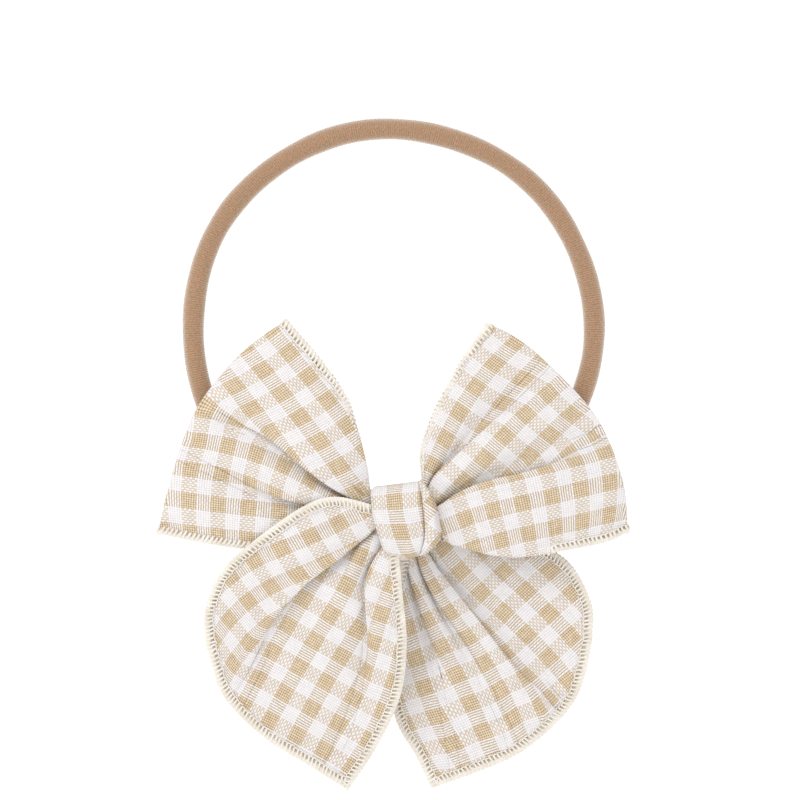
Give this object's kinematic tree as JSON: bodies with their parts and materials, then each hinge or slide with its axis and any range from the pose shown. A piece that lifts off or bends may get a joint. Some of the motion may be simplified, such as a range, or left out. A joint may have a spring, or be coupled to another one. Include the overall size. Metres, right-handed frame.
{
  "type": "hair bow headband",
  "caption": "Hand-tied gingham bow with overlocked edges, loops and tails, on a stretchy knitted nylon headband.",
  "frame": {"origin": "centre of the relaxed headband ring, in the ring's plane", "axes": "+X across the bow, +Y out of the back of the bow, +Z from the knot up to the band's crown"},
  "size_m": [0.1112, 0.0169, 0.1625],
  "materials": {
    "gingham_cotton": "woven tan and white gingham",
    "overlock_thread": "cream looped overlock thread",
    "nylon_band": "soft knitted nylon, fine cross ribs",
    "sewing_thread": "plain sewing thread"
  },
  "bodies": {
    "headband": {"band_underpass": "nylon_band", "band_left_arm": "nylon_band", "band_right_arm": "nylon_band", "band_join_whipping": "sewing_thread"},
    "band_crown": {"band_crown": "nylon_band"},
    "bow": {"knot_wrap": "gingham_cotton", "gathered_core": "gingham_cotton", "tacking_stitches": "sewing_thread"},
    "left_loop": {"left_loop": "gingham_cotton", "left_loop_upper_edging": "overlock_thread", "left_loop_lower_edging": "overlock_thread"},
    "right_loop": {"right_loop": "gingham_cotton", "right_loop_upper_edging": "overlock_thread", "right_loop_lower_edging": "overlock_thread"},
    "left_tail": {"left_tail": "gingham_cotton", "left_tail_edging": "overlock_thread"},
    "right_tail": {"right_tail": "gingham_cotton", "right_tail_edging": "overlock_thread"}
  },
  "joints": [
    {"name": "band_stretch", "type": "slide", "parent": "headband", "child": "band_crown", "axis": [0, 0, 1], "range_m": [0, 0.07], "stiffness_N_per_m": 30, "deforming": ["band_left_arm", "band_right_arm"]},
    {"name": "bow_tilt", "type": "hinge", "parent": "headband", "child": "bow", "pos_m": [0.0032, 0, -0.048], "axis": [1, 0, 0], "range_deg": [0, 90]},
    {"name": "left_loop_fan", "type": "hinge", "parent": "bow", "child": "left_loop", "pos_m": [0.0032, 0, -0.0464], "axis": [0, 1, 0], "range_deg": [-12, 12]},
    {"name": "right_loop_fan", "type": "hinge", "parent": "bow", "child": "right_loop", "pos_m": [0.0032, 0, -0.0464], "axis": [0, 1, 0], "range_deg": [-12, 12]},
    {"name": "left_tail_lift", "type": "hinge", "parent": "bow", "child": "left_tail", "pos_m": [-0.00662, -0.0087, -0.05581], "axis": [-0.6919, 0, 0.722], "range_deg": [0, 40]},
    {"name": "right_tail_lift", "type": "hinge", "parent": "bow", "child": "right_tail", "pos_m": [0.01081, -0.0024, -0.05767], "axis": [0.829, 0, 0.5593], "range_deg": [0, 60]}
  ]
}
